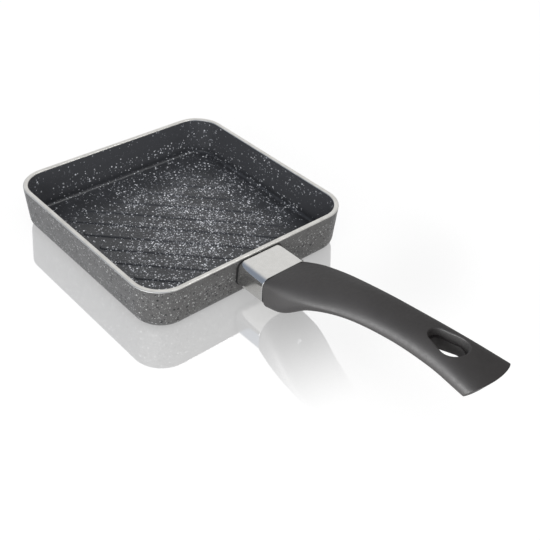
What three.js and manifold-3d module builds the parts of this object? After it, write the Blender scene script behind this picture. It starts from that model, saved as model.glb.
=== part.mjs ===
// Square mini grill pan: a coated aluminium pan with diagonal ribs on its floor, and a phenolic handle that
// one screw clamps against the wall through a metal flame guard.
// Millimetres, +Z up. The origin is the middle of the flat base, and the handle runs along +X.
import * as THREE from "three";
import { LoftGeometry } from "three/addons/geometries/LoftGeometry.js";
import { mergeVertices } from "three/addons/utils/BufferGeometryUtils.js";
import Module from "manifold-3d";

// Pan
const PAN_SIDE = 140; // outside, across the rim
const FOOT_SIDE = 136; // outside, where the walls would meet the table
const PAN_HEIGHT = 26;
const RIM_CORNER = 18.5; // outside corner radius of the rim, seen from above
const RIM_BREAK = 0.4; // broken edges of the bare rim
const WALL = 2.8;
const FLOOR = 2.7;
const FOOT_ROUND = 5.5; // from wall to base, outside
const COVE = 1.8; // from wall to floor, inside

// Ribs on the floor, from the -X -Y corner towards the +X +Y corner
const RIB_PITCH = 12.1;
const RIB_WIDTH = 4.5; // at the foot
const RIB_CROWN = 3.5; // across the flat top
const RIB_HEIGHT = 0.7;
const RIB_ROOT = 0.8; // sunk in the floor that it is cast with
const RIB_FIELD = 99; // side of the square that the ribs fill
const RIB_SHIFT = 3; // the middle rib, from the pan's centre towards the +X -Y corner

// Neck of the handle
const GUARD_WIDTH = 31;
const GUARD_HEIGHT = 16.4;
const GUARD_CORNER = 4.5;
const GUARD_WALL = 1.5;
const GUARD_DROP = 1.2; // from the rim down to the flat top of the flame guard
const NECK_LENGTH = 19.5; // from the rim to the front of the grip
const SEAL = 0.8; // thickness of the black ring against the wall
const SEAL_PROUD = 0.4; // its edge, outside the outline of the flame guard
const BRACKET_LENGTH = 9; // from the rim
const TAP_FLOOR = 2.5; // metal between the rim and the end of the tapped hole
const SPIGOT_LENGTH = 7; // of the grip, inside the flame guard
const SPIGOT_ROOT = 3; // run of the spigot inside the moulding

// Screw and washers
const SCREW = 5; // M5
const SCREW_REACH = 6; // screw inside the bracket
const SCREW_POINT = 1; // bevel at the end of the thread
const HEAD_WIDTH = 9.5;
const HEAD_HEIGHT = 3.7;
const HEAD_EDGE = 1.2; // straight side of the head
const HEAD_FLAT = 6.4; // across its top
const CROSS_LENGTH = 5;
const CROSS_WIDTH = 1;
const CROSS_DEPTH = 1.8;
const WASHER_WIDTH = 10;
const WASHER_THICK = 1;
const SPRING_WIDTH = 9.2;
const SPRING_THICK = 1.3;
const SPRING_SPLIT = 1;
const SPRING_LEAN = Math.PI / 6; // slant of the split
const SCREW_WEB = 9.5; // moulding that the screw clamps, behind the front of the grip
const RECESS_GAP = 0.4; // round the widest washer, in the recess for the screw
const RECESS_LENGTH = 27; // out through the underside

// Grip. Each station lies a span behind the last. rise is its crown above the top of the neck, half its half
// width, dome its crown above its side edges, keel its underside below them. square and under are the powers
// of its upper and lower curves: 2 for an ellipse, more for a squarer curve, less for a flatter one.
const NECK_END = { span: 0, rise: 0, half: GUARD_WIDTH / 2, dome: 5, keel: 16.6, square: 4, under: 3.2 };
const HEEL = { span: 14.5, rise: 7.4, half: 17.3, dome: 8.6, keel: 13, square: 2.7, under: 3.6 };
const THROAT = { span: 16, rise: 13.6, half: 16.8, dome: 7.8, keel: 8.3, square: 1.8, under: 2.4 };
const WAIST = { span: 22, rise: 19.5, half: 13.6, dome: 7.1, keel: 5.9, square: 1.8, under: 1.9 };
const PALM = { span: 26, rise: 22.9, half: 11.7, dome: 6.2, keel: 4.9, square: 2.3, under: 2.1 };
const HANG = { span: 25, rise: 24.9, half: 12.3, dome: 6.5, keel: 4.2, square: 2.4, under: 2.3 };
const TIP = { span: 26.6, rise: 23.6, half: 14.6, dome: 5.7, keel: 2.5, square: 2.9, under: 2.9 };
const END_SLANT = 0.57; // the end runs in under the grip, per millimetre below its crown
const END_BOW = 2.4; // and bows out in the middle, seen from above

// Hanging slot: egg-shaped, wide towards the tip, with a ledge part of the way down
const SLOT_WIDE = 13.8; // across its wide end
const SLOT_NARROW = 9; // across its narrow end
const SLOT_RUN = 8.4; // between the centres of its two ends
const SLOT_FROM_TIP = 24.4; // to the centre of the wide end
const SLOT_POCKET = 5.5; // from the crown down to the ledge
const SLOT_LEDGE = 1;
const SLOT_CUT = 30; // taller than the grip

// Fit between pieces
const FIT = 0.3; // clearance of what slides in or on
const REST = 0.3; // between faces that are clamped or welded together

// Fineness of the round stretches
const CORNER_STEPS = 8;
const FILLET_STEPS = 5;
const RIB_END_STEPS = 5;
const SLOT_STEPS = 10;
const OUTLINE_STEPS = 6;
const ROUND_SIDES = 28;
const GRIP_RINGS = 34;
const GRIP_SIDES = 36;
const RUN_OUT = 2; // how far a cutting solid runs past what it cuts

// Where the pieces meet
const taper = (PAN_SIDE - FOOT_SIDE) / 2 / PAN_HEIGHT;
const lean = Math.atan(taper);
const rim = PAN_SIDE / 2;
const neckTop = PAN_HEIGHT - GUARD_DROP;
const neckAxis = neckTop - GUARD_HEIGHT / 2;
const neckStart = Math.min(rim, FOOT_SIDE / 2) - WALL; // inside the pan, before the wall is cut away
const gripStart = rim + NECK_LENGTH;
const bracketEnd = rim + BRACKET_LENGTH;
const washerFace = gripStart + SCREW_WEB + REST;
const springFace = washerFace + WASHER_THICK + REST;
const headFace = springFace + SPRING_THICK + REST;

const wasm = await Module();
wasm.setup();

// A closed geometry as a solid that can be joined and cut.
function solidOf(geometry) {
  const bare = new THREE.BufferGeometry();
  bare.setAttribute("position", geometry.getAttribute("position"));
  bare.setIndex(geometry.index);
  const merged = mergeVertices(bare);
  const vertProperties = merged.getAttribute("position").array;
  const triVerts = new Uint32Array(merged.index.array);
  return new wasm.Manifold(new wasm.Mesh({ numProp: 3, vertProperties, triVerts }));
}

// A finished solid as a geometry again.
function geometryOf(solid) {
  const { vertProperties, triVerts } = solid.getMesh();
  const geometry = new THREE.BufferGeometry();
  geometry.setAttribute("position", new THREE.BufferAttribute(vertProperties, 3));
  geometry.setIndex(new THREE.BufferAttribute(triVerts, 1));
  geometry.computeVertexNormals();
  return geometry;
}

const X = new THREE.Vector3(1, 0, 0);
const Y = new THREE.Vector3(0, 1, 0);
const Z = new THREE.Vector3(0, 0, 1);

// A flat outline, drawn across and up, run along +X from one place to another.
function alongHandle(shape, from, to) {
  const geometry = new THREE.ExtrudeGeometry(shape, {
    depth: to - from,
    bevelEnabled: false,
    curveSegments: OUTLINE_STEPS,
  });
  geometry.applyMatrix4(new THREE.Matrix4().makeBasis(Y, Z, X));
  geometry.translate(from, 0, neckAxis);
  return solidOf(geometry);
}

// A profile of [radius, distance along +X] pairs, turned round the screw's axis.
function turned(profile) {
  const points = profile.map(([radius, along]) => new THREE.Vector2(radius, along));
  const geometry = new THREE.LatheGeometry(points, ROUND_SIDES);
  geometry.applyMatrix4(new THREE.Matrix4().makeBasis(Y, X, Z.clone().negate()));
  geometry.translate(0, 0, neckAxis);
  return solidOf(geometry);
}

function rod(width, from, to) {
  return turned([
    [0, from],
    [width / 2, from],
    [width / 2, to],
    [0, to],
  ]);
}

function washerRing(width, thick, from) {
  const bore = SCREW / 2 + FIT;
  return turned([
    [bore, from],
    [width / 2, from],
    [width / 2, from + thick],
    [bore, from + thick],
    [bore, from],
  ]);
}

// Outline of the neck, inset evenly from the outside of the flame guard.
function neckOutline(inset) {
  const across = GUARD_WIDTH / 2 - inset;
  const up = GUARD_HEIGHT / 2 - inset;
  const corner = GUARD_CORNER - inset;
  const shape = new THREE.Shape();
  shape.absarc(across - corner, up - corner, corner, 0, Math.PI / 2);
  shape.absarc(corner - across, up - corner, corner, Math.PI / 2, Math.PI);
  shape.absarc(corner - across, corner - up, corner, Math.PI, Math.PI * 1.5);
  shape.absarc(across - corner, corner - up, corner, Math.PI * 1.5, Math.PI * 2);
  shape.closePath();
  return shape;
}

function ringOutline(outerInset, innerInset) {
  const shape = neckOutline(outerInset);
  shape.holes.push(new THREE.Path(neckOutline(innerInset).getPoints(OUTLINE_STEPS)));
  return shape;
}

// Outside of the tapered wall, at a height above the table.
function wallAt(height) {
  return FOOT_SIDE / 2 + taper * height;
}

// All that lies inside the handle's wall, moved out by an offset.
function withinWall(offset) {
  const shape = new THREE.Shape();
  shape.moveTo(0, -RUN_OUT);
  shape.lineTo(wallAt(-RUN_OUT) + offset, -RUN_OUT);
  shape.lineTo(wallAt(PAN_HEIGHT + RUN_OUT) + offset, PAN_HEIGHT + RUN_OUT);
  shape.lineTo(0, PAN_HEIGHT + RUN_OUT);
  shape.closePath();
  const depth = GUARD_WIDTH + 2 * RUN_OUT;
  const geometry = new THREE.ExtrudeGeometry(shape, { depth, bevelEnabled: false });
  geometry.applyMatrix4(new THREE.Matrix4().makeBasis(X, Z, Y.clone().negate()));
  geometry.translate(0, depth / 2, 0);
  return solidOf(geometry);
}

// A square with round corners, level, anticlockwise from above. Every such ring shares its corner centres.
function roundSquare(half, height) {
  const corner = RIM_CORNER - (rim - half);
  const middle = half - corner;
  const points = [];
  for (let quarter = 0; quarter < 4; quarter += 1) {
    const turn = (quarter * Math.PI) / 2;
    for (let step = 0; step <= CORNER_STEPS; step += 1) {
      const angle = (step / CORNER_STEPS) * (Math.PI / 2);
      const across = middle + corner * Math.cos(angle);
      const point = new THREE.Vector3(across, middle + corner * Math.sin(angle), height);
      points.push(point.applyAxisAngle(Z, turn));
    }
  }
  return points;
}

// Rings of a fillet that rises from a level face to a leaning wall, tangent to both.
function filletRings(radius, level, wallHalf) {
  const tangent = level + radius * (1 - Math.sin(lean));
  const centre = wallHalf(tangent) - radius * Math.cos(lean);
  const rings = [];
  for (let step = 0; step <= FILLET_STEPS; step += 1) {
    const angle = -Math.PI / 2 + (step / FILLET_STEPS) * (Math.PI / 2 - lean);
    rings.push(roundSquare(centre + radius * Math.cos(angle), level + radius * (1 + Math.sin(angle))));
  }
  return rings;
}

function loft(rings) {
  return solidOf(new LoftGeometry(rings, { capStart: true, capEnd: true }));
}

// Points of a level arc, anticlockwise.
function levelArc(centre, radius, from, to, height, steps) {
  const points = [];
  for (let step = 0; step <= steps; step += 1) {
    const angle = THREE.MathUtils.lerp(from, to, step / steps);
    points.push(new THREE.Vector3(centre + radius * Math.cos(angle), radius * Math.sin(angle), height));
  }
  return points;
}

// Two level round ends on the X axis, joined by their tangents. The second end lies a run behind the first.
function roundEnded(first, firstRadius, run, secondRadius, height, steps) {
  const tangent = Math.acos((secondRadius - firstRadius) / run);
  return [
    ...levelArc(first, firstRadius, -tangent, tangent, height, steps),
    ...levelArc(first - run, secondRadius, tangent, 2 * Math.PI - tangent, height, steps),
  ];
}

// One rib, at its distance from the pan's centre towards the +X -Y corner.
function floorRib(length, offset) {
  const run = length - RIB_WIDTH;
  const level = (width, height) => roundEnded(run / 2, width / 2, run, width / 2, height, RIB_END_STEPS);
  const geometry = new LoftGeometry(
    [
      level(RIB_WIDTH, FLOOR - RIB_ROOT),
      level(RIB_WIDTH, FLOOR),
      level(RIB_CROWN, FLOOR + RIB_HEIGHT),
    ],
    { capStart: true, capEnd: true },
  );
  geometry.translate(0, -offset, 0);
  geometry.rotateZ(Math.PI / 4);
  return solidOf(geometry);
}

function panBody() {
  const innerAt = (height) => wallAt(height) - WALL;
  const outside = loft([
    ...filletRings(FOOT_ROUND, 0, wallAt),
    roundSquare(wallAt(PAN_HEIGHT - RIM_BREAK), PAN_HEIGHT - RIM_BREAK),
    roundSquare(wallAt(PAN_HEIGHT) - RIM_BREAK, PAN_HEIGHT),
  ]);
  const inside = loft([
    ...filletRings(COVE, FLOOR, innerAt),
    roundSquare(innerAt(PAN_HEIGHT - RIM_BREAK), PAN_HEIGHT - RIM_BREAK),
    roundSquare(innerAt(PAN_HEIGHT) + RIM_BREAK, PAN_HEIGHT),
    roundSquare(innerAt(PAN_HEIGHT) + RIM_BREAK, PAN_HEIGHT + RUN_OUT),
  ]);
  let body = outside.subtract(inside);
  const fieldReach = RIB_FIELD / Math.SQRT2; // from the centre to the corner of the ribs' square
  const outermost = Math.floor((fieldReach + RIB_SHIFT) / RIB_PITCH);
  for (let place = -outermost; place <= outermost; place += 1) {
    const offset = RIB_SHIFT + place * RIB_PITCH;
    const length = 2 * (fieldReach - Math.abs(offset));
    if (length > 2 * RIB_WIDTH) {
      body = body.add(floorRib(length, offset));
    }
  }
  return body;
}

function flameGuard() {
  const sleeve = alongHandle(ringOutline(0, GUARD_WALL), neckStart, gripStart - REST);
  return sleeve.subtract(withinWall(REST + SEAL + REST));
}

function neckSeal() {
  const ring = alongHandle(ringOutline(-SEAL_PROUD, GUARD_WALL), neckStart, gripStart);
  return ring.intersect(withinWall(REST + SEAL)).subtract(withinWall(REST));
}

function handleBracket() {
  const block = alongHandle(neckOutline(GUARD_WALL + FIT), neckStart, bracketEnd);
  const tapped = rod(SCREW + 2 * FIT, rim + TAP_FLOOR, bracketEnd + RUN_OUT);
  return block.subtract(withinWall(REST)).subtract(tapped);
}

function handleScrew() {
  const threadEnd = bracketEnd - SCREW_REACH;
  const body = turned([
    [0, threadEnd],
    [SCREW / 2 - SCREW_POINT, threadEnd],
    [SCREW / 2, threadEnd + SCREW_POINT],
    [SCREW / 2, headFace],
    [HEAD_WIDTH / 2, headFace],
    [HEAD_WIDTH / 2, headFace + HEAD_EDGE],
    [HEAD_FLAT / 2, headFace + HEAD_HEIGHT],
    [0, headFace + HEAD_HEIGHT],
  ]);
  const depth = CROSS_DEPTH + RUN_OUT;
  const middle = headFace + HEAD_HEIGHT - CROSS_DEPTH + depth / 2;
  const bars = [
    new THREE.BoxGeometry(depth, CROSS_LENGTH, CROSS_WIDTH),
    new THREE.BoxGeometry(depth, CROSS_WIDTH, CROSS_LENGTH),
  ];
  const cross = bars.map((bar) => solidOf(bar.translate(middle, 0, neckAxis)));
  return body.subtract(cross[0].add(cross[1]));
}

function springWasher() {
  const ring = washerRing(SPRING_WIDTH, SPRING_THICK, springFace);
  const split = new THREE.BoxGeometry(SPRING_WIDTH, SPRING_SPLIT, SPRING_WIDTH);
  split.rotateZ(SPRING_LEAN);
  split.translate(springFace + SPRING_THICK / 2, 0, neckAxis + SPRING_WIDTH / 2);
  return ring.subtract(solidOf(split));
}

// The moulding's sections, blended smoothly from station to station.
function gripRings() {
  const stations = [NECK_END, HEEL, THROAT, WAIST, PALM, HANG, TIP];
  const places = [];
  stations.reduce((place, { span }) => {
    places.push(place + span);
    return place + span;
  }, gripStart);
  const names = ["rise", "half", "dome", "keel", "square", "under"];
  const sizes = stations.flatMap((station) => names.map((name) => station[name]));
  const blend = new THREE.CubicInterpolant(places, sizes, names.length);
  const tipAt = places[stations.length - 1];
  const hangAt = tipAt - TIP.span;
  const rings = [];
  for (let ring = 0; ring <= GRIP_RINGS; ring += 1) {
    const place = THREE.MathUtils.lerp(gripStart, tipAt, ring / GRIP_RINGS);
    const [rise, half, dome, keel, square, under] = blend.evaluate(place);
    const ending = Math.max(0, (place - hangAt) / TIP.span);
    rings.push(gripRing(place, { rise, half, dome, keel, square, under }, ending));
  }
  return { rings, tipAt };
}

// One section. The end's sections are drawn in, so that the end face slants and bows.
function gripRing(place, { rise, half, dome, keel, square, under }, ending) {
  const points = [];
  for (let side = 0; side < GRIP_SIDES; side += 1) {
    const angle = (side / GRIP_SIDES) * 2 * Math.PI;
    const upper = Math.sin(angle) > 0;
    const power = 2 / (upper ? square : under);
    const across = Math.sign(Math.cos(angle)) * Math.abs(Math.cos(angle)) ** power;
    const up = (upper ? dome : -keel) * Math.abs(Math.sin(angle)) ** power;
    const drawnIn = ending * (END_SLANT * (dome - up) + END_BOW * across ** 2);
    points.push(new THREE.Vector3(place - drawnIn, half * across, neckTop + rise - dome + up));
  }
  return points;
}

// The slot's upright walls, inset evenly from its outline.
function slotWell(inset, wideEnd, from, to) {
  const level = (height) =>
    roundEnded(wideEnd, SLOT_WIDE / 2 - inset, SLOT_RUN, SLOT_NARROW / 2 - inset, height, SLOT_STEPS);
  return loft([level(from), level(to)]);
}

function grip() {
  const { rings, tipAt } = gripRings();
  const spigotEnd = gripStart - SPIGOT_LENGTH;
  const spigot = alongHandle(neckOutline(GUARD_WALL + FIT), spigotEnd, gripStart + SPIGOT_ROOT);
  const bore = rod(SCREW + 2 * FIT, spigotEnd - RUN_OUT, washerFace + RUN_OUT);
  const recessStart = gripStart + SCREW_WEB;
  const recess = rod(WASHER_WIDTH + 2 * RECESS_GAP, recessStart, recessStart + RECESS_LENGTH);
  const crown = neckTop + HANG.rise;
  const wideEnd = tipAt - SLOT_FROM_TIP;
  const pocket = slotWell(0, wideEnd, crown - SLOT_POCKET, crown + SLOT_CUT);
  const hole = slotWell(SLOT_LEDGE, wideEnd, crown - SLOT_CUT, crown);
  return loft(rings).add(spigot).subtract(bore).subtract(recess).subtract(pocket).subtract(hole);
}

function piece(name, solid, color, roughness, metalness) {
  const material = new THREE.MeshStandardMaterial({ color, roughness, metalness });
  const mesh = new THREE.Mesh(geometryOf(solid), material);
  mesh.name = name;
  return mesh;
}

const pan = new THREE.Group();
pan.add(piece("pan_body", panBody(), "#3c3e42", 0.45, 0.1));
pan.add(piece("handle_bracket", handleBracket(), "#b4b4b2", 0.5, 1));
pan.add(piece("neck_seal", neckSeal(), "#141414", 0.8, 0));
pan.add(piece("flame_guard", flameGuard(), "#d2d3d2", 0.2, 1));
pan.add(piece("grip", grip(), "#3d3b3b", 0.55, 0));
pan.add(piece("handle_screw", handleScrew(), "#a9abad", 0.35, 1));
pan.add(piece("spring_washer", springWasher(), "#8f9194", 0.4, 1));
pan.add(piece("plain_washer", washerRing(WASHER_WIDTH, WASHER_THICK, washerFace), "#a9abad", 0.35, 1));

export default pan;
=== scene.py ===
"""Square mini grill pan: speckled coatings, bare rim, floor ribs, polished flame guard and phenolic grip."""
import math

import bmesh
import bpy
from mathutils import Matrix, Vector


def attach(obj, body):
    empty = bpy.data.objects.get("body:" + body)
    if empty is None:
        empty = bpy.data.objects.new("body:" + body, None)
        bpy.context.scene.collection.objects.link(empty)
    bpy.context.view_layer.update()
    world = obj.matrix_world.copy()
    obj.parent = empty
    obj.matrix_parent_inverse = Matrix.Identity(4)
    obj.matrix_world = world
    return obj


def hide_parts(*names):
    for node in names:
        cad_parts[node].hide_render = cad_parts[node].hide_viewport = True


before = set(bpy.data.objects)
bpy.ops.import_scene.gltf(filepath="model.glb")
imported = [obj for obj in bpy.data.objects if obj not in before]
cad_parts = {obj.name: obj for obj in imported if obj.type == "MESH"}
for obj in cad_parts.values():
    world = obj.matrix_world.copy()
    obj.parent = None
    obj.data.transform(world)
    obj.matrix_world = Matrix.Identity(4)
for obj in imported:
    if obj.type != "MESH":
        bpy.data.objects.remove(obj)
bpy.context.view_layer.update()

MM = 0.001
QUARTER = math.pi / 2

# Pan, as in the CAD model
PAN_SIDE = 140 * MM
FOOT_SIDE = 136 * MM
PAN_HEIGHT = 26 * MM
RIM_CORNER = 18.5 * MM
RIM_BREAK = 0.5 * MM
WALL = 2.8 * MM
FLOOR = 2.7 * MM
FOOT_ROUND = 5.5 * MM
COVE = 1.8 * MM

# Ribs on the floor
RIB_PITCH = 12.1 * MM
RIB_WIDTH = 4.5 * MM
RIB_CROWN = 3.5 * MM
RIB_HEIGHT = 0.7 * MM
RIB_ROOT = 0.8 * MM
RIB_FIELD = 99 * MM
RIB_SHIFT = 3 * MM
RIB_FLARE = 0.2 * MM  # soft run-out of the coating at the foot of a rib
RIB_SINK = 0.03 * MM  # border of a rib, just under the floor
RIB_TURN = math.pi / 4
RIB_STEPS = 72
RIB_LINES = 27
RIB_CREASE = 60  # degrees

# Neck
GUARD_WIDTH = 31 * MM
GUARD_HEIGHT = 16.4 * MM
GUARD_CORNER = 4.5 * MM
GUARD_WALL = 1.5 * MM
GUARD_DROP = 1.2 * MM
GUARD_EDGE = 0.25 * MM  # rounded ends of the sleeve
NECK_LENGTH = 19.5 * MM
SEAL = 0.8 * MM
SEAL_PROUD = 0.4 * MM
SEAL_EDGE = 0.12 * MM
SEAL_TOP = 0.35 * MM  # its thickness along the top
SLEEVE_CREASE = 35  # degrees, for the flame guard and the seal
CONTACT = 0.04 * MM  # between faces that touch
SPIGOT_LENGTH = 7 * MM
SPIGOT_ROOT = 3 * MM
SCREW_BORE = 5.6 * MM
SCREW_WEB = 9.5 * MM
RECESS_WIDTH = 10.8 * MM
RECESS_LENGTH = 27 * MM
FIT = 0.3 * MM

# Grip stations, as in the CAD model: span, rise, half, dome, keel in millimetres, then square and under
NECK_END = (0, 0, 15.5, 5, 16.6, 4, 3.2)
HEEL = (14.5, 7.4, 17.3, 8.6, 13, 2.7, 3.6)
THROAT = (16, 13.6, 16.8, 7.8, 8.3, 1.8, 2.4)
WAIST = (22, 19.5, 13.6, 7.1, 5.9, 1.8, 1.9)
PALM = (26, 22.9, 11.7, 6.2, 4.9, 2.3, 2.1)
HANG = (25, 24.9, 12.3, 6.5, 4.2, 2.4, 2.3)
TIP = (26.6, 23.6, 14.6, 5.7, 2.5, 2.9, 2.9)
STATIONS = (NECK_END, HEEL, THROAT, WAIST, PALM, HANG, TIP)
END_SLANT = 0.57
END_BOW = 2.4 * MM
FRONT_ROUND = 0.8 * MM
END_ROUND = 0.5 * MM
END_FILLS = (0.75, 0.5, 0.25)  # rings that carry the bow over the end face
GRIP_RINGS = 220
GRIP_SIDES = 144
GRIP_CREASE = 32  # degrees, above which an edge of the moulding is sharp

# Hanging slot
SLOT_WIDE = 13.8 * MM
SLOT_NARROW = 9 * MM
SLOT_RUN = 8.4 * MM
SLOT_FROM_TIP = 24.4 * MM
SLOT_POCKET = 5.5 * MM
SLOT_LEDGE = 1 * MM
SLOT_LIP = 0.9 * MM  # rounded mouth of the slot
SLOT_DRAFT = 0.6 * MM  # the hole narrows below the ledge
SLOT_CUT = 30 * MM

# Fineness
CORNER_STEPS = 24
FILLET_STEPS = 12
BREAK_STEPS = 5
OUTLINE_STEPS = 14
SLOT_STEPS = 40
ROUND_SIDES = 64
WELD = 0.002 * MM  # points of a cut mesh closer than this become one
SUPPORT = 0.6 * MM  # from the end of a rounding to the ring that keeps the flat beside it flat

# Where the pieces meet
RIM = PAN_SIDE / 2
TAPER = (PAN_SIDE - FOOT_SIDE) / 2 / PAN_HEIGHT
LEAN = math.atan(TAPER)
NECK_TOP = PAN_HEIGHT - GUARD_DROP
NECK_AXIS = NECK_TOP - GUARD_HEIGHT / 2
GRIP_START = RIM + NECK_LENGTH

# Shape of a fleck, in parts of its cell or of its reach
FLECK_RIPPLE = 1.4
FLECK_BEND = 0.25
FLECK_SMALLEST = 0.4
FLECK_CORE = 0.65
FLECK_FAINTEST = 0.45

# Flecks inside the pan: dense round a place on the floor, sparse past a distance from it
FLECKS_MIDDLE = (4 * MM, 6 * MM, FLOOR)
FLECKS_DENSE = 18 * MM
FLECKS_SPARSE = 72 * MM
FLECKS_MOST = 1.55
FLECKS_LEAST = 0.45
FLECKS_ON_WALL = 0.6  # share of the floor's
FLECKS_GATHER = (0.45, 1.5)  # between bare and crowded patches
# Between these heights the walls' coating turns lighter than the floor's: painted light on the walls, making
# up for the less light they get
FLOOR_LOOK_TO = FLOOR + 1.5 * MM
WALL_LOOK_FROM = FLOOR + 6 * MM

# Dark flecks outside: few on the far side, many towards the handle. The flecks are the coating's own; their
# rise towards the handle is painted shade on that side
DARK_FROM = 0.0
DARK_TO = 50 * MM
DARK_FEW = 0.2
DARK_MANY = 0.6

# Fine variation of the surfaces
CLOUD_EDGE = (0.32, 0.68)  # range of the noise that counts
SWELL_PER_GRAIN = 0.12  # fineness of the swell, as a share of the grain's
BRUSH_STRETCH = (0.06, 1.0, 1.0)  # brushed lines run along X

# Camera, from the photo's perspective
CAMERA_AT = (0.3354, -0.2470, 0.2954)
CAMERA_AZIMUTH = 46.152
CAMERA_ELEVATION = 37.911
CAMERA_ROLL = 3.807
CAMERA_LENS = 56.74
CAMERA_NEAREST = 0.01
SENSOR = 36.0

# Softbox in front, for everything
FRONT_AT = (0.23, -0.64, 0.21)
FRONT_AIM = (0.07, 0.0, 0.04)
FRONT_SIZE = (0.6, 0.4)
FRONT_GLOW = 2.5  # brightness of the softbox, where white paper in the studio is 1
# Softbox for the band of light along the grip
SIDE_AT = (0.13, -0.455, 0.15)
SIDE_AIM = (0.15, 0.0, 0.04)
SIDE_SIZE = (0.3, 0.28)
SIDE_GLOW = 40.0
# Softbox over the pan
TOP_AT = (0.03, 0.25, 0.63)
TOP_AIM = (-0.03, 0.0, 0.0)
TOP_SIZE = (0.15, 0.15)
TOP_GLOW = 14.0
# Room and table
AMBIENT = 0.42
FILL = 0.8  # reflector on the camera's side
FILL_FROM = (0.74, -0.42, 0.53)
FILL_EDGE = (0.3, 0.95)  # where the reflector fades in, as the cosine from its middle
FRONT_SHADE = (0.32, 0.37, 0.46, 1)  # what glossy surfaces mirror of the darker room in front
FRONT_EDGE = (0.4, -0.45)  # where that shade fades in, as the direction's Y
RIGHT_SHADE = (0.5, 0.5, 0.5, 1)  # the same, for the room on the right
RIGHT_EDGE = (-0.54, -0.3)
TABLE_SIDE = 6.0
TABLE_DROP = 0.2 * MM
TABLE_TONE = 0.4
TABLE_LIFT = 0.73  # brings its own tone up to white
TABLE_GLOSS = 0.03
TABLE_SHEEN = 0.48  # mirrored share beside the pan
SHEEN_FROM = 24 * MM  # distance from the foot at which the mirroring starts to fade
SHEEN_TO = 98 * MM


def add(tree, kind, inputs=None, **settings):
    """A node with its settings; each input is a value or another node's output."""
    node = tree.nodes.new(kind)
    for name, value in settings.items():
        setattr(node, name, value)
    for key, value in (inputs or {}).items():
        if isinstance(value, bpy.types.NodeSocket):
            tree.links.new(value, node.inputs[key])
        else:
            node.inputs[key].default_value = value
    return node


def math_node(tree, operation, *values):
    return add(tree, "ShaderNodeMath", dict(enumerate(values)), operation=operation).outputs[0]


def ramp_node(tree, value, from_low, from_high, to_low, to_high, curve="SMOOTHSTEP"):
    ends = {"Value": value, "From Min": from_low, "From Max": from_high, "To Min": to_low, "To Max": to_high}
    return add(tree, "ShaderNodeMapRange", ends, interpolation_type=curve).outputs["Result"]


def mix_colour(tree, share, under, over):
    node = add(tree, "ShaderNodeMix", {0: share, 6: under, 7: over}, data_type="RGBA")
    return node.outputs[2]


def new_group(name, kind, inputs, outputs):
    tree = bpy.data.node_groups.new(name, kind)
    for label, socket in inputs.items():
        tree.interface.new_socket(label, in_out="INPUT", socket_type=socket)
    for label, socket in outputs.items():
        tree.interface.new_socket(label, in_out="OUTPUT", socket_type=socket)
    given = tree.nodes.new("NodeGroupInput").outputs
    result = tree.nodes.new("NodeGroupOutput").inputs
    return tree, given, result


def flecks_group():
    """Scattered flecks: one to a cell at most, in a given share of the cells."""
    inputs = {
        "Vector": "NodeSocketVector",
        "Cell": "NodeSocketFloat",
        "Share": "NodeSocketFloat",
        "Reach": "NodeSocketFloat",
    }
    tree, given, result = new_group("Flecks", "ShaderNodeTree", inputs, {"Mask": "NodeSocketFloat"})
    per_cell = math_node(tree, "DIVIDE", 1.0, given["Cell"])
    in_cells = add(tree, "ShaderNodeVectorMath", {0: given["Vector"], "Scale": per_cell}, operation="SCALE")
    ripple = {"Vector": in_cells.outputs[0], "Scale": FLECK_RIPPLE, "Detail": 1.0}
    waver = add(tree, "ShaderNodeTexNoise", ripple).outputs["Color"]
    spread = add(tree, "ShaderNodeVectorMath", {0: waver, "Scale": FLECK_BEND}, operation="SCALE")
    bent = add(tree, "ShaderNodeVectorMath", {0: in_cells.outputs[0], 1: spread.outputs[0]}, operation="ADD")
    cells = add(tree, "ShaderNodeTexVoronoi", {"Vector": bent.outputs[0], "Scale": 1.0}, feature="F1")
    draw = add(tree, "ShaderNodeSeparateColor", {"Color": cells.outputs["Color"]}).outputs
    present = math_node(tree, "LESS_THAN", draw["Red"], given["Share"])
    size = ramp_node(tree, draw["Green"], 0.0, 1.0, FLECK_SMALLEST, 1.0, "LINEAR")
    reach = math_node(tree, "MULTIPLY", size, given["Reach"])
    inner = math_node(tree, "MULTIPLY", reach, FLECK_CORE)
    shape = ramp_node(tree, cells.outputs["Distance"], inner, reach, 1.0, 0.0)
    tone = ramp_node(tree, draw["Blue"], 0.0, 1.0, FLECK_FAINTEST, 1.0, "LINEAR")
    lit = math_node(tree, "MULTIPLY", present, shape)
    tree.links.new(math_node(tree, "MULTIPLY", lit, tone), result["Mask"])
    return tree


def clouds_group():
    """Slow variation over a surface, between two values."""
    inputs = {
        "Vector": "NodeSocketVector",
        "Size": "NodeSocketFloat",
        "Low": "NodeSocketFloat",
        "High": "NodeSocketFloat",
    }
    tree, given, result = new_group("Clouds", "ShaderNodeTree", inputs, {"Value": "NodeSocketFloat"})
    per_size = math_node(tree, "DIVIDE", 1.0, given["Size"])
    noise = add(tree, "ShaderNodeTexNoise", {"Vector": given["Vector"], "Scale": per_size, "Detail": 3.0})
    value = ramp_node(tree, noise.outputs[0], *CLOUD_EDGE, given["Low"], given["High"])
    tree.links.new(value, result["Value"])
    return tree


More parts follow.
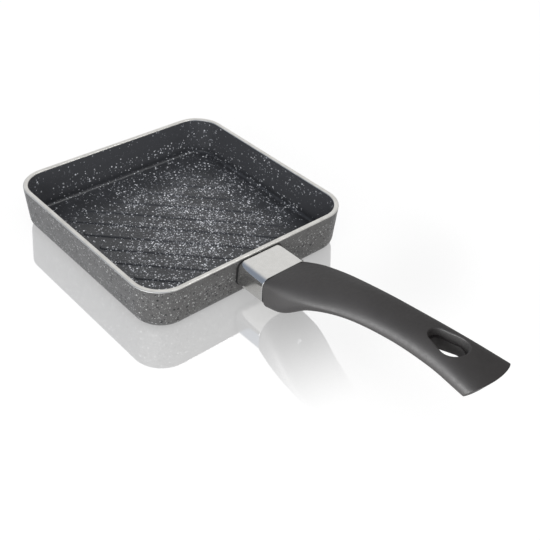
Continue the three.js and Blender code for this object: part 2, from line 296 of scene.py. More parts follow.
def grain_group():
    """Fine height of a moulded or coated surface, with a slower swell under it."""
    inputs = {"Vector": "NodeSocketVector", "Size": "NodeSocketFloat", "Swell": "NodeSocketFloat"}
    tree, given, result = new_group("Grain", "ShaderNodeTree", inputs, {"Height": "NodeSocketFloat"})
    per_size = math_node(tree, "DIVIDE", 1.0, given["Size"])
    fine = add(tree, "ShaderNodeTexNoise", {"Vector": given["Vector"], "Scale": per_size, "Detail": 2.0})
    slower = math_node(tree, "MULTIPLY", per_size, SWELL_PER_GRAIN)
    slow = add(tree, "ShaderNodeTexNoise", {"Vector": given["Vector"], "Scale": slower, "Detail": 1.0})
    swell = math_node(tree, "MULTIPLY", slow.outputs[0], given["Swell"])
    tree.links.new(math_node(tree, "ADD", fine.outputs[0], swell), result["Height"])
    return tree


def brushing_group():
    """Fine lines along X, for rolled and turned metal."""
    inputs = {"Vector": "NodeSocketVector", "Size": "NodeSocketFloat"}
    tree, given, result = new_group("Brushing", "ShaderNodeTree", inputs, {"Value": "NodeSocketFloat"})
    drawn = add(tree, "ShaderNodeVectorMath", {0: given["Vector"], 1: BRUSH_STRETCH}, operation="MULTIPLY")
    per_size = math_node(tree, "DIVIDE", 1.0, given["Size"])
    lines = add(tree, "ShaderNodeTexNoise", {"Vector": drawn.outputs[0], "Scale": per_size, "Detail": 3.0})
    tree.links.new(lines.outputs[0], result["Value"])
    return tree


flecks = flecks_group()
clouds = clouds_group()
grain = grain_group()
brushing = brushing_group()


def new_material(name, **sockets):
    """A material with a Principled shader, its tree and the place on the surface."""
    material = bpy.data.materials.new(name)
    material.use_nodes = True
    tree = material.node_tree
    shader = tree.nodes["Principled BSDF"]
    for label, value in sockets.items():
        shader.inputs[label.replace("_", " ")].default_value = value
    place = tree.nodes.new("ShaderNodeTexCoord").outputs["Object"]
    return material, tree, shader.inputs, place


def use(tree, group, output, **inputs):
    return add(tree, "ShaderNodeGroup", inputs, node_tree=group).outputs[output]


def two_tones(tree, place, size, under, over):
    """A colour that drifts between two."""
    cloud = use(tree, clouds, "Value", Vector=place, Size=size, Low=0.0, High=1.0)
    return mix_colour(tree, cloud, under, over)


def dress(tree, surface, place, colour, patch, low, high):
    """Gives the surface its colour, and a roughness that varies from patch to patch between low and high."""
    tree.links.new(colour, surface["Base Color"])
    dull = use(tree, clouds, "Value", Vector=place, Size=patch, Low=low, High=high)
    tree.links.new(dull, surface["Roughness"])


def bump(tree, surface, height, strength, depth):
    node = add(tree, "ShaderNodeBump", {"Strength": strength, "Distance": depth, "Height": height})
    tree.links.new(node.outputs[0], surface["Normal"])


def grained(tree, surface, place, size, swell, strength, depth):
    fine = use(tree, grain, "Height", Vector=place, Size=size, Swell=swell)
    bump(tree, surface, fine, strength, depth)


def speckle(tree, place, colour, layers):
    """Lays coats of flecks over a colour: cell in mm, share of the cells, reach in mm and tint of each."""
    for cell, share, reach, tint in layers:
        mask = use(tree, flecks, "Mask", Vector=place, Cell=cell * MM, Share=share, Reach=reach / cell)
        colour = mix_colour(tree, mask, colour, tint)
    return colour


def inside_coating():
    material, tree, surface, place = new_material("inside_coating", Specular_IOR_Level=0.45)
    cloud = use(tree, clouds, "Value", Vector=place, Size=17 * MM, Low=0.0, High=1.0)
    height = add(tree, "ShaderNodeSeparateXYZ", {"Vector": place}).outputs["Z"]
    on_floor = ramp_node(tree, height, FLOOR_LOOK_TO, WALL_LOOK_FROM, 1.0, 0.0)
    away = add(tree, "ShaderNodeVectorMath", {0: place, 1: FLECKS_MIDDLE}, operation="DISTANCE")
    spread = ramp_node(tree, away.outputs["Value"], FLECKS_DENSE, FLECKS_SPARSE, FLECKS_MOST, FLECKS_LEAST)
    by_height = ramp_node(tree, on_floor, 0.0, 1.0, FLECKS_ON_WALL, 1.0, "LINEAR")
    sparse = math_node(tree, "MULTIPLY", by_height, spread)
    patches = ramp_node(tree, cloud, 0.0, 1.0, *FLECKS_GATHER)
    gather = math_node(tree, "MULTIPLY", patches, sparse)
    floor_tone = mix_colour(tree, cloud, (0.029, 0.0305, 0.0345, 1), (0.036, 0.038, 0.043, 1))
    # the lighter wall tone is painted light on the walls, making up for the less light they get
    base = mix_colour(tree, on_floor, (0.060, 0.062, 0.0685, 1), floor_tone)
    layers = (
        (0.6, math_node(tree, "MULTIPLY", gather, 0.40), 0.26, (0.24, 0.25, 0.28, 1)),
        (1.0, math_node(tree, "MULTIPLY", gather, 0.42), 0.48, (0.55, 0.57, 0.62, 1)),
        (1.5, math_node(tree, "MULTIPLY", gather, 0.45), 0.68, (0.86, 0.88, 0.93, 1)),
    )
    colour = speckle(tree, place, base, layers)
    dress(tree, surface, place, colour, patch=5 * MM, low=0.33, high=0.41)
    grained(tree, surface, place, size=0.5 * MM, swell=1.5, strength=0.25, depth=0.05 * MM)
    return material


def outside_coating():
    material, tree, surface, place = new_material("outside_coating")
    base = two_tones(tree, place, 12 * MM, (0.108, 0.1055, 0.103, 1), (0.124, 0.1215, 0.119, 1))
    by_handle = add(tree, "ShaderNodeSeparateXYZ", {"Vector": place}).outputs["X"]
    # more dark flecks towards the handle: painted shade on the handle side
    dark_flecks_and_painted_shade = ramp_node(tree, by_handle, DARK_FROM, DARK_TO, DARK_FEW, DARK_MANY)
    layers = (
        (0.55, 0.45, 0.26, (0.23, 0.23, 0.23, 1)),
        (0.9, 0.45, 0.42, (0.40, 0.40, 0.395, 1)),
        (1.5, 0.42, 0.60, (0.64, 0.64, 0.63, 1)),
        (1.9, dark_flecks_and_painted_shade, 0.95, (0.008, 0.008, 0.008, 1)),
    )
    colour = speckle(tree, place, base, layers)
    dress(tree, surface, place, colour, patch=4 * MM, low=0.36, high=0.46)
    grained(tree, surface, place, size=0.45 * MM, swell=1.2, strength=0.3, depth=0.05 * MM)
    return material


def bare_rim():
    material, tree, surface, place = new_material("bare_rim", Metallic=1.0)
    colour = two_tones(tree, place, 6 * MM, (0.60, 0.588, 0.56, 1), (0.68, 0.668, 0.64, 1))
    dress(tree, surface, place, colour, patch=1.2 * MM, low=0.32, high=0.46)
    grained(tree, surface, place, size=0.4 * MM, swell=0.6, strength=0.2, depth=0.03 * MM)
    return material


def guard_steel():
    material, tree, surface, place = new_material("guard_steel", Metallic=1.0)
    colour = two_tones(tree, place, 3 * MM, (0.625, 0.618, 0.60, 1), (0.65, 0.643, 0.625, 1))
    dress(tree, surface, place, colour, patch=5 * MM, low=0.15, high=0.19)
    lines = use(tree, brushing, "Value", Vector=place, Size=0.35 * MM)
    bump(tree, surface, lines, strength=0.08, depth=0.02 * MM)
    return material


def grip_phenolic():
    material, tree, surface, place = new_material("grip_phenolic")
    base = two_tones(tree, place, 9 * MM, (0.0185, 0.0152, 0.0148, 1), (0.0225, 0.019, 0.0186, 1))
    dots = use(tree, flecks, "Mask", Vector=place, Cell=0.7 * MM, Share=0.25, Reach=0.3)
    colour = mix_colour(tree, dots, base, (0.028, 0.027, 0.027, 1))
    dress(tree, surface, place, colour, patch=2 * MM, low=0.62, high=0.68)
    grained(tree, surface, place, size=0.4 * MM, swell=1.0, strength=0.7, depth=0.07 * MM)
    return material


def seal_rubber():
    material, tree, surface, place = new_material("seal_rubber")
    colour = two_tones(tree, place, 2 * MM, (0.007, 0.007, 0.007, 1), (0.012, 0.012, 0.012, 1))
    dress(tree, surface, place, colour, patch=1 * MM, low=0.55, high=0.7)
    grained(tree, surface, place, size=0.25 * MM, swell=0.5, strength=0.2, depth=0.03 * MM)
    return material


def fixing_steel():
    material, tree, surface, place = new_material("fixing_steel", Metallic=1.0)
    lines = use(tree, brushing, "Value", Vector=place, Size=0.3 * MM)
    colour = mix_colour(tree, lines, (0.42, 0.42, 0.43, 1), (0.58, 0.58, 0.59, 1))
    dress(tree, surface, place, colour, patch=0.8 * MM, low=0.25, high=0.4)
    bump(tree, surface, lines, strength=0.15, depth=0.02 * MM)
    return material


def bare_aluminium():
    material, tree, surface, place = new_material("bare_aluminium", Metallic=1.0)
    colour = two_tones(tree, place, 3 * MM, (0.64, 0.63, 0.61, 1), (0.74, 0.73, 0.71, 1))
    dress(tree, surface, place, colour, patch=1 * MM, low=0.38, high=0.52)
    grained(tree, surface, place, size=0.5 * MM, swell=1.0, strength=0.3, depth=0.05 * MM)
    return material


def skin(rings, wrap=False):
    """Points and faces over rings of equal count: capped by fans, or closed on itself."""
    points = [tuple(point) for ring in rings for point in ring]
    count = len(rings[0])
    bands = len(rings) if wrap else len(rings) - 1
    faces = []
    for band in range(bands):
        near = band * count
        far = (band + 1) % len(rings) * count
        for side in range(count):
            after = (side + 1) % count
            faces.append((near + side, near + after, far + after, far + side))
    if not wrap:
        last = (len(rings) - 1) * count
        for ring in (rings[0], rings[-1]):
            points.append(tuple(sum((Vector(point) for point in ring), Vector()) / count))
        for side in range(count):
            after = (side + 1) % count
            faces.append((len(points) - 2, after, side))
            faces.append((len(points) - 1, last + side, last + after))
    return points, faces


def new_mesh(name, points, faces):
    mesh = bpy.data.meshes.new(name)
    mesh.from_pydata(points, [], faces)
    mesh.update()
    piece = bpy.data.objects.new(name, mesh)
    bpy.context.scene.collection.objects.link(piece)
    return piece


def soften(piece, sharp=None):
    piece.data.shade_smooth()
    if sharp is not None:
        piece.data.set_sharp_from_angle(angle=math.radians(sharp))


def hand_in(piece, material_slot, *nodes):
    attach(piece, "root")
    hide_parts(*nodes)


def made_plain(piece):
    """The piece with its modifiers worked into a plain mesh."""
    graph = bpy.context.evaluated_depsgraph_get()
    mesh = bpy.data.meshes.new_from_object(piece.evaluated_get(graph))
    piece.modifiers.clear()
    piece.data = mesh
    mesh.name = piece.name


def weld(piece):
    """Clears a cut mesh of doubled points, of faces without area and of many-cornered faces."""
    mesh = bmesh.new()
    mesh.from_mesh(piece.data)
    bmesh.ops.remove_doubles(mesh, verts=mesh.verts, dist=WELD)
    bmesh.ops.dissolve_degenerate(mesh, edges=mesh.edges, dist=WELD)
    bmesh.ops.triangulate(mesh, faces=[face for face in mesh.faces if len(face.verts) > 4])
    mesh.to_mesh(piece.data)
    mesh.free()


def arc(centre, level, radius, start, end, steps):
    """Points of an arc in a profile: distance from the middle, height."""
    points = []
    for step in range(steps + 1):
        angle = start + (end - start) * step / steps
        points.append((centre + radius * math.cos(angle), level + radius * math.sin(angle)))
    return points


def wall_at(height):
    return FOOT_SIDE / 2 + TAPER * height


def inner_at(height):
    return wall_at(height) - WALL


def fillet(radius, level, wall):
    """Profile of a rounding from a level face up to the leaning wall."""
    tangent = level + radius * (1 - math.sin(LEAN))
    centre = wall(tangent) - radius * math.cos(LEAN)
    return arc(centre, level + radius, radius, -QUARTER, -LEAN, FILLET_STEPS)


def round_square(half, height):
    corner = RIM_CORNER - (RIM - half)
    middle = half - corner
    ring = []
    for quarter in range(4):
        turn = Matrix.Rotation(quarter * QUARTER, 3, "Z")
        for step in range(CORNER_STEPS + 1):
            angle = QUARTER * step / CORNER_STEPS
            point = (middle + corner * math.cos(angle), middle + corner * math.sin(angle), height)
            ring.append(turn @ Vector(point))
    return ring


def pan_profile():
    """Half width and height from the base, up the outside, over the rim and down to the floor."""
    foot = fillet(FOOT_ROUND, 0, wall_at)
    cove = fillet(COVE, FLOOR, inner_at)[::-1]
    below = PAN_HEIGHT - RIM_BREAK
    outer = wall_at(below) - RIM_BREAK
    inner = inner_at(below) + RIM_BREAK
    outside = [(foot[0][0] - SUPPORT, 0), *foot]
    outside.append((wall_at(foot[-1][1] + SUPPORT), foot[-1][1] + SUPPORT))
    outside.append((wall_at(below - SUPPORT), below - SUPPORT))
    rim = arc(outer, below, RIM_BREAK, 0, QUARTER, BREAK_STEPS)
    rim += arc(inner, below, RIM_BREAK, QUARTER, math.pi, BREAK_STEPS)
    inside = [(inner_at(below - SUPPORT), below - SUPPORT)]
    inside.append((inner_at(cove[0][1] + SUPPORT), cove[0][1] + SUPPORT))
    inside += [*cove, (cove[-1][0] - SUPPORT, FLOOR)]
    return outside, rim, inside


def make_pan(coatings):
    outside, rim, inside = pan_profile()
    rings = [round_square(half, height) for half, height in outside + rim + inside]
    pan = new_mesh("pan", *skin(rings))
    for coating in coatings:
        pan.data.materials.append(coating)
    count = len(rings[0])
    rim_from = len(outside)
    rim_to = len(outside) + len(rim) - 1
    for face in pan.data.polygons:
        bands = [index // count for index in face.vertices if index < count * len(rings)]
        band = min(bands)
        face.material_index = 0 if band < rim_from else 1 if band < rim_to else 2
    soften(pan)
    hand_in(pan, "pan_coating", "pan_body")
    return pan


def ribs_tree():
    """Equal ribs side by side, each as long as the square field allows, then turned to the diagonal."""
    inputs = {
        "Count": "NodeSocketInt",
        "First": "NodeSocketFloat",
        "Pitch": "NodeSocketFloat",
        "Reach": "NodeSocketFloat",
        "Width": "NodeSocketFloat",
        "Crown": "NodeSocketFloat",
        "Height": "NodeSocketFloat",
        "Floor": "NodeSocketFloat",
        "Coating": "NodeSocketMaterial",
    }
    outputs = {"Geometry": "NodeSocketGeometry"}
    tree, given, result = new_group("Floor ribs", "GeometryNodeTree", inputs, outputs)
    places = add(tree, "GeometryNodeMeshLine", {"Count": given["Count"], "Offset": (0, 0, 0)})
    strip = {"Size": (2, 2, 2), "Vertices X": RIB_STEPS, "Vertices Y": RIB_LINES, "Vertices Z": 2}
    block = add(tree, "GeometryNodeMeshCube", strip)
    spot = add(tree, "GeometryNodeInputPosition").outputs[0]
    local = add(
        tree,
        "GeometryNodeStoreNamedAttribute",
        {"Geometry": block.outputs["Mesh"], "Name": "local", "Value": spot},
        data_type="FLOAT_VECTOR",
        domain="POINT",
    )
    spread = {"Points": places.outputs[0], "Instance": local.outputs[0]}
    copies = add(tree, "GeometryNodeInstanceOnPoints", spread)
    order = add(tree, "GeometryNodeInputIndex").outputs[0]
    numbered = add(
        tree,
        "GeometryNodeStoreNamedAttribute",
        {"Geometry": copies.outputs[0], "Name": "order", "Value": order},
        data_type="FLOAT",
        domain="INSTANCE",
    )
    real = add(tree, "GeometryNodeRealizeInstances", {0: numbered.outputs[0]})
    number = add(tree, "GeometryNodeInputNamedAttribute", {"Name": "order"}, data_type="FLOAT").outputs[0]
    corner = add(tree, "GeometryNodeInputNamedAttribute", {"Name": "local"}, data_type="FLOAT_VECTOR")
    u, v, w = add(tree, "ShaderNodeSeparateXYZ", {0: corner.outputs[0]}).outputs
    offset = math_node(tree, "MULTIPLY_ADD", number, given["Pitch"], given["First"])
    half = math_node(tree, "SUBTRACT", given["Reach"], math_node(tree, "ABSOLUTE", offset))
    end = math_node(tree, "ADD", half, RIB_FLARE)
    crowding = math_node(tree, "SINE", math_node(tree, "MULTIPLY", u, QUARTER))
    along = math_node(tree, "MULTIPLY", end, crowding)
    foot = math_node(tree, "MULTIPLY_ADD", given["Width"], 0.5, RIB_FLARE)
    across = math_node(tree, "MULTIPLY", v, foot)
    spine = math_node(tree, "MULTIPLY_ADD", given["Width"], -0.5, half)
    past = math_node(tree, "SUBTRACT", math_node(tree, "ABSOLUTE", along), spine)
    past = math_node(tree, "MAXIMUM", past, 0.0)
    squares = math_node(tree, "MULTIPLY_ADD", past, past, math_node(tree, "MULTIPLY", across, across))
    away = math_node(tree, "SQRT", squares)
    crown = math_node(tree, "MULTIPLY", given["Crown"], 0.5)
    rise = ramp_node(tree, away, foot, crown, 0.0, given["Height"])
    top = math_node(tree, "ADD", rise, math_node(tree, "SUBTRACT", given["Floor"], RIB_SINK))
    root = math_node(tree, "SUBTRACT", given["Floor"], RIB_ROOT)
    upper = math_node(tree, "GREATER_THAN", w, 0.0)
    level = add(tree, "ShaderNodeMix", {0: upper, 2: root, 3: top}, data_type="FLOAT").outputs[0]
    side = math_node(tree, "SUBTRACT", across, offset)
    straight = add(tree, "ShaderNodeCombineXYZ", {0: along, 1: side, 2: level})
    turned = add(
        tree,
        "ShaderNodeVectorRotate",
        {"Vector": straight.outputs[0], "Angle": RIB_TURN},
        rotation_type="Z_AXIS",
    )
    moved = {"Geometry": real.outputs[0], "Position": turned.outputs[0]}
    formed = add(tree, "GeometryNodeSetPosition", moved)
    coat = {"Geometry": formed.outputs[0], "Material": given["Coating"]}
    coated = add(tree, "GeometryNodeSetMaterial", coat)
    tree.links.new(coated.outputs[0], result["Geometry"])
    return tree


def make_ribs(coating):
    reach = RIB_FIELD / math.sqrt(2)
    outermost = int((reach + RIB_SHIFT) / RIB_PITCH)
    offsets = [RIB_SHIFT + place * RIB_PITCH for place in range(-outermost, outermost + 1)]
    offsets = [offset for offset in offsets if reach - abs(offset) > RIB_WIDTH]
    ribs = new_mesh("floor_ribs", [], [])
    layout = ribs.modifiers.new("ribs", "NODES")
    layout.node_group = ribs_tree()
    sizes = {
        "Count": len(offsets),
        "First": offsets[0],
        "Pitch": RIB_PITCH,
        "Reach": reach,
        "Width": RIB_WIDTH,
        "Crown": RIB_CROWN,
        "Height": RIB_HEIGHT,
        "Floor": FLOOR,
        "Coating": coating,
    }
    for socket in layout.node_group.interface.items_tree:
        if socket.in_out == "INPUT":
            layout[socket.identifier] = sizes[socket.name]
    made_plain(ribs)
    soften(ribs, sharp=RIB_CREASE)
    hand_in(ribs, "pan_coating", "pan_body")
    return ribs


def neck_outline(inset):
    """Across and up round the neck, inset evenly from the outside of the flame guard."""
    across = GUARD_WIDTH / 2 - inset
    up = GUARD_HEIGHT / 2 - inset
    corner = GUARD_CORNER - inset
    middles = ((across - corner, up - corner), (corner - across, up - corner))
    middles += ((corner - across, corner - up), (across - corner, corner - up))
    points = []
    for quarter, (y, z) in enumerate(middles):
        points += arc(y, z, corner, quarter * QUARTER, (quarter + 1) * QUARTER, OUTLINE_STEPS)
    return points


def neck_ring(inset, along):
    """A ring round the neck; along gives its place on the handle from its height."""
    ring = []
    for y, z in neck_outline(inset):
        height = NECK_AXIS + z
        ring.append(Vector((along(height), y, height)))
    return ring


def sleeve_rings(start, end, outer, wall, edge):
    """Rings of a sleeve with rounded outer edges: over the outside, then back through the bore."""
    rings = []
    for step in range(BREAK_STEPS + 1):
        angle = QUARTER * step / BREAK_STEPS
        inset = outer + edge * (1 - math.sin(angle))
        along = edge * (1 - math.cos(angle))
        rings.append(neck_ring(inset, lambda height, along=along: start(height) + along))
    rings.append(neck_ring(outer, lambda height: start(height) + edge + edge / 2))
    rings.append(neck_ring(outer, lambda height: end(height) - edge - edge / 2))
    for step in range(BREAK_STEPS + 1):
        angle = QUARTER * step / BREAK_STEPS
        inset = outer + edge * (1 - math.cos(angle))
        along = edge * (1 - math.sin(angle))
        rings.append(neck_ring(inset, lambda height, along=along: end(height) - along))
    rings.append(neck_ring(wall, end))
    rings.append(neck_ring(wall, start))
    return rings


def make_guard(steel):
    rings = sleeve_rings(
        lambda height: seal_end(height) + CONTACT,
        lambda height: GRIP_START - CONTACT,
        0,
        GUARD_WALL,
        GUARD_EDGE,
    )
    guard = new_mesh("flame_guard_sleeve", *skin(rings, wrap=True))
    guard.data.materials.append(steel)
    soften(guard, sharp=SLEEVE_CREASE)
    hand_in(guard, "guard_steel", "flame_guard")


def seal_end(height):
    """Face of the seal against the flame guard: the ring is thinner along the top of the neck."""
    below = min(max((NECK_TOP - height) / GUARD_CORNER, 0.0), 1.0)
    return wall_at(height) + SEAL_TOP + (SEAL - SEAL_TOP) * below


def make_seal(rubber):
    rings = sleeve_rings(
        lambda height: wall_at(height) + CONTACT,
        seal_end,
        -SEAL_PROUD,
        GUARD_WALL,
        SEAL_EDGE,
    )
    for ring in rings:
        for point in ring:
            point.z = min(point.z, NECK_TOP)
    seal = new_mesh("neck_seal_ring", *skin(rings, wrap=True))
    seal.data.materials.append(rubber)
    soften(seal, sharp=SLEEVE_CREASE)
    hand_in(seal, "seal_rubber", "neck_seal")


def station_places():
    places = []
    place = GRIP_START / MM
    for station in STATIONS:
        place += station[0]
        places.append(place)
    return places


def station_slope(places, index, value):
    """How fast a size changes along the grip at a station: the mean of its slopes on both sides."""
    slopes = []
    for before in (index - 1, index):
        if 0 <= before < len(STATIONS) - 1:
            change = STATIONS[before + 1][value] - STATIONS[before][value]
            slopes.append(change / (places[before + 1] - places[before]))
    return sum(slopes) / len(slopes)


def grip_sizes(place):
    """Rise, half, dome, keel, square and under at a place, blended smoothly from station to station."""
    places = station_places()
    last = len(places) - 1
    near = max(index for index in range(last) if index == 0 or places[index] <= place)
    far = near + 1
    run = places[far] - places[near]
    part = (place - places[near]) / run
    sizes = []
    for value in range(1, len(NECK_END)):
        start = STATIONS[near][value]
        stop = STATIONS[far][value]
        rest = 1 - part
        leaving = station_slope(places, near, value)
        arriving = station_slope(places, far, value)
        bend = rest * leaving * run - part * arriving * run
        lift = (stop - start) * (part - rest)
        sizes.append(rest * start + part * stop + part * rest * (bend + lift))
    return sizes


def power(base, exponent):
    return math.copysign(abs(base) ** exponent, base)


def grip_ring(place, inset=0.0, fill=1.0):
    """One section of the moulding, inset evenly for a rounded edge or drawn in to fill the end face."""
    rise, half, dome, keel, square, under = grip_sizes(place)
    hang_at = station_places()[-2]
    ending = max(0.0, (place - hang_at) / TIP[0])
    ring = []
    for side in range(GRIP_SIDES):
        angle = 2 * math.pi * side / GRIP_SIDES
        upper = math.sin(angle) > 0
        exponent = 2 / (square if upper else under)
        across = fill * power(math.cos(angle), exponent)
        up = fill * ((dome if upper else keel) - inset) * power(math.sin(angle), exponent)
        drawn_in = ending * (END_SLANT * (dome - up) + END_BOW / MM * across ** 2)
        height = NECK_TOP / MM + rise - dome + up
        ring.append(Vector((place - drawn_in, (half - inset) * across, height)) * MM)
    return ring


def grip_rings():
    start = GRIP_START / MM
    end = station_places()[-1]
    front = FRONT_ROUND / MM
    back = END_ROUND / MM
    rings = []
    for step in range(BREAK_STEPS):
        angle = QUARTER * step / BREAK_STEPS
        rings.append(grip_ring(start + front * (1 - math.cos(angle)), front * (1 - math.sin(angle))))
    run = end - back - start - front
    for step in range(GRIP_RINGS):
        rings.append(grip_ring(start + front + run * step / GRIP_RINGS))
    for step in range(BREAK_STEPS + 1):
        angle = QUARTER * step / BREAK_STEPS
        rings.append(grip_ring(end - back * (1 - math.sin(angle)), back * (1 - math.cos(angle))))
    for fill in END_FILLS:
        rings.append(grip_ring(end, back, fill))
    return rings


def rod_rings(width, start, end):
    rings = []
    for along in (start, end):
        ring = []
        for side in range(ROUND_SIDES):
            angle = 2 * math.pi * side / ROUND_SIDES
            y = width / 2 * math.cos(angle)
            ring.append(Vector((along, y, NECK_AXIS + width / 2 * math.sin(angle))))
        rings.append(ring)
    return rings


def slot_outline(grow):
    """The egg-shaped slot from above, anticlockwise, grown evenly by a distance."""
    wide_at = station_places()[-1] * MM - SLOT_FROM_TIP
    wide = SLOT_WIDE / 2 + grow
    narrow = SLOT_NARROW / 2 + grow
    tangent = math.acos((narrow - wide) / SLOT_RUN)
    points = arc(wide_at, 0, wide, -tangent, tangent, SLOT_STEPS)
    return points + arc(wide_at - SLOT_RUN, 0, narrow, tangent, 2 * math.pi - tangent, SLOT_STEPS)


def crown_height(x, y):
    """Height of the grip's upper face at a place near the slot."""
    rise, half, dome, keel, square, under = grip_sizes(x / MM)
    share = min(abs(y) / MM / half, 1.0)
    return (NECK_TOP / MM + rise - dome + dome * (1 - share ** square) ** (1 / square)) * MM


def slot_rings():
    """The slot from under the grip upwards: a drafted hole, the ledge, the pocket and a rounded mouth."""
    crown = NECK_TOP + HANG[1] * MM
    ledge = crown - SLOT_POCKET
    under = crown - (HANG[3] + HANG[4]) * MM - SLOT_LIP
    narrow = -SLOT_LEDGE - SLOT_DRAFT
    levels = ((crown - SLOT_CUT, narrow), (under, narrow), (ledge, -SLOT_LEDGE), (ledge, 0))
    rings = [[Vector((x, y, level)) for x, y in slot_outline(grow)] for level, grow in levels]
    for step in range(BREAK_STEPS):
        angle = QUARTER * step / BREAK_STEPS
        grow = SLOT_LIP * (1 - math.cos(angle))
        drop = SLOT_LIP * (1 - math.sin(angle))
        rings.append([Vector((x, y, crown_height(x, y) - drop)) for x, y in slot_outline(grow)])
    rings.append([Vector((x, y, crown_height(x, y) + SLOT_LIP)) for x, y in slot_outline(2 * SLOT_LIP)])
    return rings


def make_grip(phenolic):
    grip = new_mesh("handle_grip", *skin(grip_rings()))
    grip.data.materials.append(phenolic)
    spigot_from = GRIP_START - SPIGOT_LENGTH
    spigot_outline = GUARD_WALL + FIT
    spigot = [neck_ring(spigot_outline, lambda height: spigot_from)]
    spigot.append(neck_ring(spigot_outline, lambda height: GRIP_START + SPIGOT_ROOT))
    recess_from = GRIP_START + SCREW_WEB
    shapes = (
        ("spigot", "UNION", spigot),
        ("screw_bore", "DIFFERENCE", rod_rings(SCREW_BORE, spigot_from - FIT, recess_from + FIT)),
        ("screw_recess", "DIFFERENCE", rod_rings(RECESS_WIDTH, recess_from, recess_from + RECESS_LENGTH)),
        ("slot", "DIFFERENCE", slot_rings()),
    )
    tools = []
    for name, operation, rings in shapes:
        tool = new_mesh(name, *skin(rings))
        step = grip.modifiers.new(name, "BOOLEAN")
        step.operation = operation
        step.solver = "MANIFOLD"
        step.object = tool
        tools.append(tool)
    made_plain(grip)
    for tool in tools:
        bpy.data.objects.remove(tool)
    weld(grip)
    soften(grip, sharp=GRIP_CREASE)
    hand_in(grip, "grip_phenolic", "grip")
    return grip


def looked_at(tree, path):
    """1 where the camera looks, directly or by way of a mirroring or clear surface."""
    seen = math_node(tree, "MAXIMUM", path["Is Camera Ray"], path["Is Glossy Ray"])
    return math_node(tree, "MAXIMUM", seen, path["Is Transmission Ray"])


def make_floor():
    material = bpy.data.materials.new("studio_floor")
    material.use_nodes = True
    tree = material.node_tree
    tree.nodes.clear()
    path = tree.nodes.new("ShaderNodeLightPath").outputs
    lift = math_node(tree, "MULTIPLY", looked_at(tree, path), TABLE_LIFT)
    matt = add(tree, "ShaderNodeBsdfDiffuse", {"Color": (TABLE_TONE,) * 3 + (1,)})
    glow = add(tree, "ShaderNodeEmission", {"Color": (1, 1, 1, 1), "Strength": lift})
    plain = add(tree, "ShaderNodeAddShader", {0: matt.outputs[0], 1: glow.outputs[0]})
    mirror = add(tree, "ShaderNodeBsdfGlossy", {"Color": (1, 1, 1, 1), "Roughness": TABLE_GLOSS})
    place = tree.nodes.new("ShaderNodeTexCoord").outputs["Object"]
    aside = add(tree, "ShaderNodeVectorMath", {0: place}, operation="ABSOLUTE").outputs[0]
    foot = (FOOT_SIDE / 2, FOOT_SIDE / 2, 0)
    beyond = add(tree, "ShaderNodeVectorMath", {0: aside, 1: foot}, operation="SUBTRACT").outputs[0]
    beyond = add(tree, "ShaderNodeVectorMath", {0: beyond, 1: (0, 0, 0)}, operation="MAXIMUM").outputs[0]
    away = add(tree, "ShaderNodeVectorMath", {0: beyond}, operation="LENGTH").outputs["Value"]
    sheen = ramp_node(tree, away, SHEEN_FROM, SHEEN_TO, TABLE_SHEEN, 0.0)
    both = add(tree, "ShaderNodeMixShader", {0: sheen, 1: plain.outputs[0], 2: mirror.outputs[0]})
    add(tree, "ShaderNodeOutputMaterial", {"Surface": both.outputs[0]})
    half = TABLE_SIDE / 2
    corners = [(-half, -half), (half, -half), (half, half), (-half, half)]
    floor = new_mesh("studio_floor", [(x, y, -TABLE_DROP) for x, y in corners], [(0, 1, 2, 3)])
    floor.data.materials.append(material)


def make_light():
    world = bpy.data.worlds.new("studio")
    world.use_nodes = True
    bpy.context.scene.world = world
    tree = world.node_tree
    tree.nodes.clear()
    path = tree.nodes.new("ShaderNodeLightPath").outputs
    seen = looked_at(tree, path)
    towards = tree.nodes.new("ShaderNodeTexCoord").outputs["Generated"]
    facing = add(tree, "ShaderNodeVectorMath", {0: towards, 1: FILL_FROM}, operation="DOT_PRODUCT")
    soft = ramp_node(tree, facing.outputs["Value"], *FILL_EDGE, AMBIENT, AMBIENT + FILL)
    strength = ramp_node(tree, seen, 0.0, 1.0, soft, 1.0, "LINEAR")
    ways = add(tree, "ShaderNodeSeparateXYZ", {0: towards}).outputs
    to_front = ramp_node(tree, ways["Y"], *FRONT_EDGE, 0.0, 1.0)
    to_right = ramp_node(tree, ways["X"], *RIGHT_EDGE, 0.0, 1.0)
    front = math_node(tree, "MULTIPLY", to_front, path["Is Glossy Ray"])
    right = math_node(tree, "MULTIPLY", to_right, path["Is Glossy Ray"])
    colour = mix_colour(tree, right, (1, 1, 1, 1), RIGHT_SHADE)
    colour = mix_colour(tree, front, colour, FRONT_SHADE)
    sky = add(tree, "ShaderNodeBackground", {"Color": colour, "Strength": strength})
    add(tree, "ShaderNodeOutputWorld", {"Surface": sky.outputs[0]})
    make_softbox("front_softbox", FRONT_AT, FRONT_AIM, FRONT_SIZE, FRONT_GLOW)


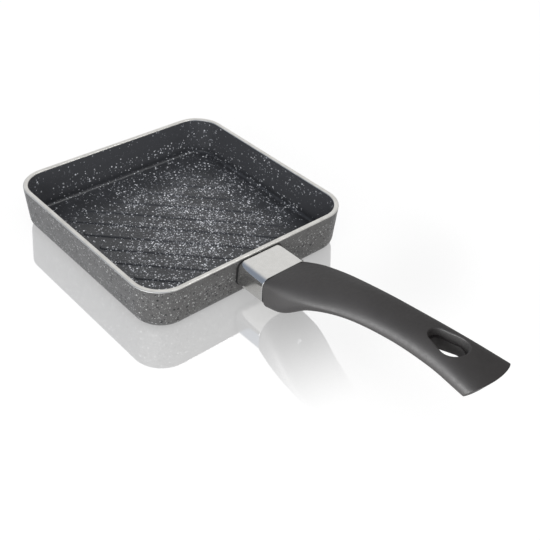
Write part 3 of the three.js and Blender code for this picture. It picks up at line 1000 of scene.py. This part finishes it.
def make_softbox(name, place, aim, size, glow):
    lamp = bpy.data.lights.new(name, "AREA")
    lamp.shape = "RECTANGLE"
    lamp.size, lamp.size_y = size
    lamp.energy = glow * math.pi * lamp.size * lamp.size_y
    softbox = bpy.data.objects.new(name, lamp)
    softbox.location = place
    softbox.rotation_euler = (Vector(aim) - Vector(place)).to_track_quat("-Z", "Y").to_euler()
    softbox.visible_camera = False
    bpy.context.scene.collection.objects.link(softbox)
    return softbox


def light_only(softbox, *pieces):
    """Keeps the light of a softbox to some of the pieces."""
    lit = bpy.data.collections.new(softbox.name)
    for piece in pieces:
        lit.objects.link(piece)
    softbox.light_linking.receiver_collection = lit


def make_camera():
    lens = bpy.data.cameras.new("camera")
    lens.sensor_width = SENSOR
    lens.lens = CAMERA_LENS
    lens.clip_start = CAMERA_NEAREST
    camera = bpy.data.objects.new("camera", lens)
    bpy.context.scene.collection.objects.link(camera)
    round_up = Matrix.Rotation(math.radians(CAMERA_AZIMUTH), 4, "Z")
    tilt = Matrix.Rotation(math.radians(90 - CAMERA_ELEVATION), 4, "X")
    roll = Matrix.Rotation(math.radians(CAMERA_ROLL), 4, "Z")
    camera.matrix_world = Matrix.Translation(CAMERA_AT) @ round_up @ tilt @ roll
    bpy.context.scene.camera = camera


def finish_node(node, material):
    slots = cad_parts[node].material_slots
    if slots:
        for place in slots:
            place.material = material
    else:
        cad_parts[node].data.materials.append(material)


make_camera()
make_light()
make_floor()
inside = inside_coating()
pan = make_pan((outside_coating(), bare_rim(), inside))
ribs = make_ribs(inside)
make_guard(guard_steel())
make_seal(seal_rubber())
grip = make_grip(grip_phenolic())
side_softbox = make_softbox("side_softbox", SIDE_AT, SIDE_AIM, SIDE_SIZE, SIDE_GLOW)
side_softbox.visible_diffuse = False
light_only(side_softbox, grip)
light_only(make_softbox("top_softbox", TOP_AT, TOP_AIM, TOP_SIZE, TOP_GLOW), pan, ribs)
steel = fixing_steel()
for fixing in ("handle_screw", "spring_washer", "plain_washer"):
    finish_node(fixing, steel)
finish_node("handle_bracket", bare_aluminium())

bpy.context.scene.view_settings.view_transform = "Standard"
bpy.context.view_layer.update()
